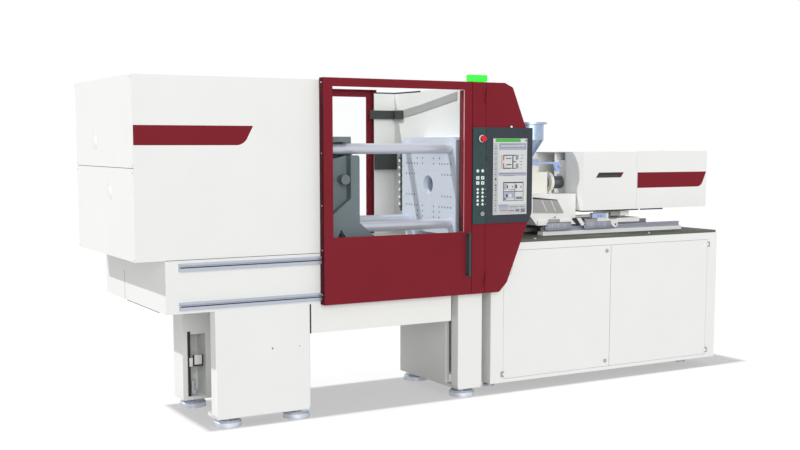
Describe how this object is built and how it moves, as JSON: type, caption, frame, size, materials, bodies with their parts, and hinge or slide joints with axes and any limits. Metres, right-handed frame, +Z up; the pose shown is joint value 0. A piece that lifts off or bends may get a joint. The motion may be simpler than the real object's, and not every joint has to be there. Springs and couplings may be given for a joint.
{
  "type": "injection moulding machine",
  "caption": "Horizontal injection moulding machine with a toggle clamp under a sliding guard, a swivelling control wing and an injection unit on a cabinet base.",
  "frame": {"origin": "centre of the footprint at floor level", "axes": "+X along the machine to the injection end, +Y away from the operator, +Z up"},
  "size_m": [4.347, 1.335, 2.064],
  "materials": {
    "white_paint": "satin powder coat",
    "red_paint": "satin powder coat",
    "grey_paint": "satin paint on casting",
    "dark_paint": "satin paint",
    "blue_paint": "satin paint",
    "plated_steel": "ground and plated",
    "ground_steel": "ground",
    "tool_steel": "turned",
    "rail_aluminium": "anodised",
    "black_plastic": "moulded",
    "red_plastic": "moulded",
    "green_lens": "moulded lens",
    "display_glass": "coated",
    "clear_pane": "clear sheet",
    "ceramic_band": "sheet over ceramic"
  },
  "bodies": {
    "machine_frame": {"clamp_frame": "white_paint", "rear_frame_box": "white_paint", "drop_chute": "white_paint", "left_pedestal": "white_paint", "right_pedestal": "white_paint", "levelling_feet": "plated_steel", "clamp_cover": "white_paint", "end_panels": "white_paint", "door_tracks": "rail_aluminium", "fixed_platen": "plated_steel", "end_platen": "grey_paint", "tie_bars": "ground_steel", "tie_bar_nuts": "tool_steel", "clamp_cylinder": "grey_paint", "rear_guard_panel": "white_paint", "guard_lock_box": "dark_paint", "water_manifold": "dark_paint", "cabinet_frame": "white_paint", "base_tray": "dark_paint", "injection_rails": "ground_steel", "cabinet_hinges": "white_paint", "status_lamp": "green_lens", "control_column": "red_paint", "key_panel": "dark_paint"},
    "moving_platen": {"moving_platen": "grey_paint"},
    "ejector": {"ejector_rod": "ground_steel"},
    "crosshead": {"crosshead": "tool_steel"},
    "upper_rear_link": {"upper_rear_links": "grey_paint"},
    "lower_rear_link": {"lower_rear_links": "grey_paint"},
    "upper_front_link": {"upper_front_links": "grey_paint"},
    "lower_front_link": {"lower_front_links": "grey_paint"},
    "upper_crosshead_link": {"upper_crosshead_links": "tool_steel"},
    "lower_crosshead_link": {"lower_crosshead_links": "tool_steel"},
    "front_guard": {"front_door": "red_paint", "front_window": "clear_pane", "door_handle": "black_plastic", "door_runners": "tool_steel"},
    "rear_guard": {"rear_guard_door": "red_paint", "rear_window": "clear_pane"},
    "control_wing": {"control_wing": "red_paint", "screen_panel": "dark_paint", "touch_screen": "display_glass"},
    "stop_button": {"emergency_stop": "red_plastic"},
    "mode_switch": {"key_switch": "plated_steel"},
    "left_cabinet_door": {"cabinet_door_left": "white_paint"},
    "right_cabinet_door": {"cabinet_door_right": "white_paint"},
    "upper_latch": {"latch_upper": "plated_steel"},
    "lower_latch": {"latch_lower": "plated_steel"},
    "injection_unit": {"carriage": "white_paint", "runner_blocks": "tool_steel", "barrel": "tool_steel", "heater_bands": "ceramic_band", "feed_block": "white_paint", "hopper_rail": "blue_paint", "rear_hood": "white_paint", "drive_unit": "white_paint", "barrel_guard": "white_paint"},
    "screw": {"screw": "tool_steel"},
    "hopper": {"hopper": "blue_paint"},
    "front_hood": {"front_hood": "white_paint"}
  },
  "joints": [
    {"name": "front_door_slide", "type": "slide", "parent": "machine_frame", "child": "front_guard", "axis": [-1, 0, 0], "range_m": [0, 0.9]},
    {"name": "rear_guard_slide", "type": "slide", "parent": "machine_frame", "child": "rear_guard", "axis": [-1, 0, 0], "range_m": [0, 0.9]},
    {"name": "platen_slide", "type": "slide", "parent": "machine_frame", "child": "moving_platen", "axis": [1, 0, 0], "range_m": [0, 0.32]},
    {"name": "crosshead_slide", "type": "slide", "parent": "machine_frame", "child": "crosshead", "axis": [1, 0, 0], "range_m": [0, 0.138]},
    {"name": "upper_rear_link_turn", "type": "hinge", "parent": "machine_frame", "child": "upper_rear_link", "pos_m": [-1.32503, -0.1625, 1.62], "axis": [0, -1, 0], "range_deg": [0, 106.2]},
    {"name": "lower_rear_link_turn", "type": "hinge", "parent": "machine_frame", "child": "lower_rear_link", "pos_m": [-1.32503, -0.1625, 1.11], "axis": [0, 1, 0], "range_deg": [0, 106.2]},
    {"name": "upper_front_link_turn", "type": "hinge", "parent": "moving_platen", "child": "upper_front_link", "pos_m": [-1.011, -0.1625, 1.585], "axis": [0, 1, 0], "range_deg": [0, 26.8]},
    {"name": "lower_front_link_turn", "type": "hinge", "parent": "moving_platen", "child": "lower_front_link", "pos_m": [-1.011, -0.1625, 1.145], "axis": [0, -1, 0], "range_deg": [0, 26.8]},
    {"name": "upper_crosshead_link_turn", "type": "hinge", "parent": "crosshead", "child": "upper_crosshead_link", "pos_m": [-1.32569, -0.1625, 1.425], "axis": [0, 1, 0], "range_deg": [0, 33.8]},
    {"name": "lower_crosshead_link_turn", "type": "hinge", "parent": "crosshead", "child": "lower_crosshead_link", "pos_m": [-1.32569, -0.1625, 1.305], "axis": [0, -1, 0], "range_deg": [0, 33.8]},
    {"name": "ejector_slide", "type": "slide", "parent": "moving_platen", "child": "ejector", "axis": [1, 0, 0], "range_m": [0, 0.1]},
    {"name": "control_wing_swivel", "type": "hinge", "parent": "machine_frame", "child": "control_wing", "pos_m": [0.08, -0.6355, 1.35], "axis": [0, 0, -1], "range_deg": [0, 90]},
    {"name": "emergency_stop_press", "type": "slide", "parent": "machine_frame", "child": "stop_button", "axis": [0, 1, 0], "range_m": [0, 0.005], "stiffness_N_per_m": 1500},
    {"name": "key_switch_turn", "type": "hinge", "parent": "machine_frame", "child": "mode_switch", "pos_m": [0.048, -0.6445, 1.194], "axis": [0, -1, 0], "range_deg": [0, 90]},
    {"name": "left_cabinet_door_hinge", "type": "hinge", "parent": "machine_frame", "child": "left_cabinet_door", "pos_m": [0.27, -0.5725, 0.518], "axis": [0, 0, -1], "range_deg": [0, 90]},
    {"name": "right_cabinet_door_hinge", "type": "hinge", "parent": "machine_frame", "child": "right_cabinet_door", "pos_m": [2.082, -0.5725, 0.518], "axis": [0, 0, 1], "range_deg": [0, 110]},
    {"name": "upper_latch_turn", "type": "hinge", "parent": "left_cabinet_door", "child": "upper_latch", "pos_m": [1.1345, -0.53, 0.9025], "axis": [0, 1, 0], "range_deg": [0, 90]},
    {"name": "lower_latch_turn", "type": "hinge", "parent": "left_cabinet_door", "child": "lower_latch", "pos_m": [1.1345, -0.53, 0.1347], "axis": [0, 1, 0], "range_deg": [0, 90]},
    {"name": "carriage_slide", "type": "slide", "parent": "machine_frame", "child": "injection_unit", "axis": [1, 0, 0], "range_m": [0, 0.2]},
    {"name": "screw_turn", "type": "hinge", "parent": "injection_unit", "child": "screw", "pos_m": [0.6, -0.1625, 1.365], "axis": [1, 0, 0], "continuous": true},
    {"name": "front_hood_slide", "type": "slide", "parent": "injection_unit", "child": "front_hood", "axis": [1, 0, 0], "range_m": [0, 0.3]},
    {"name": "hopper_slide", "type": "slide", "parent": "injection_unit", "child": "hopper", "axis": [1, 0, 0], "range_m": [0, 0.11]}
  ],
  "couplings": [
    {"joint": "crosshead_slide", "follows": "platen_slide", "ratio": 0.43034},
    {"joint": "upper_rear_link_turn", "follows": "platen_slide", "rad_per_m": 5.7868},
    {"joint": "upper_front_link_turn", "follows": "platen_slide", "rad_per_m": 1.4581},
    {"joint": "upper_crosshead_link_turn", "follows": "platen_slide", "rad_per_m": 1.8359},
    {"joint": "lower_rear_link_turn", "follows": "platen_slide", "rad_per_m": 5.7868},
    {"joint": "lower_front_link_turn", "follows": "platen_slide", "rad_per_m": 1.4581},
    {"joint": "lower_crosshead_link_turn", "follows": "platen_slide", "rad_per_m": 1.8359}
  ]
}
